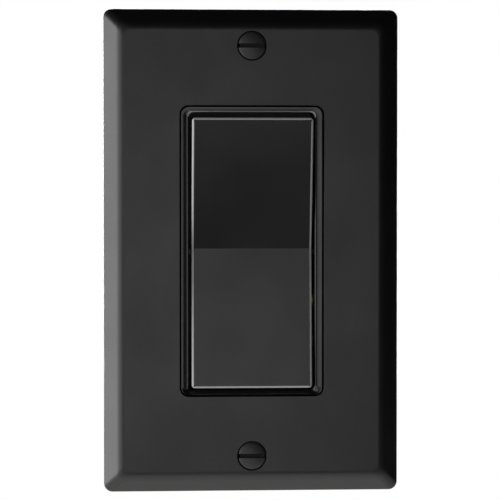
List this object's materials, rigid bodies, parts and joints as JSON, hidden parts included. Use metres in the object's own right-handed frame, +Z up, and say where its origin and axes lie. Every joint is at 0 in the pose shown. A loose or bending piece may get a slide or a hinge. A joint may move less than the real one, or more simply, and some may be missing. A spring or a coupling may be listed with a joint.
{
  "type": "rocker wall switch",
  "caption": "Black rocker wall switch: bevelled cover plate, framed concave paddle that rocks, steel strap, and a rear housing with contacts and terminals.",
  "frame": {"origin": "middle of the wall's surface, where the cover plate's rim and the strap's ears rest", "axes": "+Z up along the plate's height, -Y out of the wall towards the user, +Y into the wall box, +X to the user's right"},
  "size_m": [0.0698, 0.0333, 0.1142],
  "materials": {
    "plate_plastic": "black moulded thermoplastic, fine satin",
    "frame_plastic": "black moulded thermoplastic, satin",
    "paddle_plastic": "black moulded thermoplastic, smooth satin",
    "housing_plastic": "dark moulded thermoset",
    "blackened_screw": "black painted steel",
    "zinc_steel": "zinc plated",
    "vulcanised_fibre": "hard fibre sheet",
    "green_screw": "green coated steel",
    "brass": "stamped sheet",
    "brass_screw": "turned",
    "spring_steel": "bright",
    "contact_silver": "silver alloy",
    "plunger_acetal": "natural moulded acetal"
  },
  "bodies": {
    "body": {"wall_plate": "plate_plastic", "plate_screw_upper": "blackened_screw", "plate_screw_lower": "blackened_screw", "bezel_frame": "frame_plastic", "mounting_strap": "zinc_steel", "rear_housing": "housing_plastic", "chamber_cover": "housing_plastic", "rivet_upper_left": "zinc_steel", "rivet_upper_right": "zinc_steel", "rivet_lower_left": "zinc_steel", "rivet_lower_right": "zinc_steel", "mounting_screw_upper": "zinc_steel", "mounting_screw_lower": "zinc_steel", "retainer_washer_upper": "vulcanised_fibre", "retainer_washer_lower": "vulcanised_fibre", "ground_terminal": "zinc_steel", "ground_rivet": "zinc_steel", "ground_screw": "green_screw", "line_terminal": "brass", "load_terminal": "brass", "line_terminal_screw": "brass_screw", "load_terminal_screw": "brass_screw", "line_wire_clip": "spring_steel", "load_wire_clip": "spring_steel", "fixed_contact": "contact_silver"},
    "paddle": {"rocker_paddle": "paddle_plastic", "detent_spring": "spring_steel"},
    "plunger": {"detent_plunger": "plunger_acetal"},
    "arm": {"contact_arm": "brass", "moving_contact": "contact_silver"}
  },
  "joints": [
    {"name": "paddle_rock", "type": "hinge", "parent": "body", "child": "paddle", "pos_m": [0, 0.002, 0], "axis": [-1, 0, 0], "range_deg": [0, 6]},
    {"name": "arm_rock", "type": "hinge", "parent": "body", "child": "arm", "pos_m": [0, 0.0153, 0], "axis": [1, 0, 0], "range_deg": [0, 7.2]},
    {"name": "plunger_slide", "type": "slide", "parent": "paddle", "child": "plunger", "axis": [0, -0.9986, -0.0523], "range_m": [0, 0.0008], "stiffness_N_per_m": 150, "deforming": ["detent_spring"]}
  ],
  "couplings": [
    {"joint": "arm_rock", "follows": "paddle_rock", "ratio": 1.2}
  ]
}
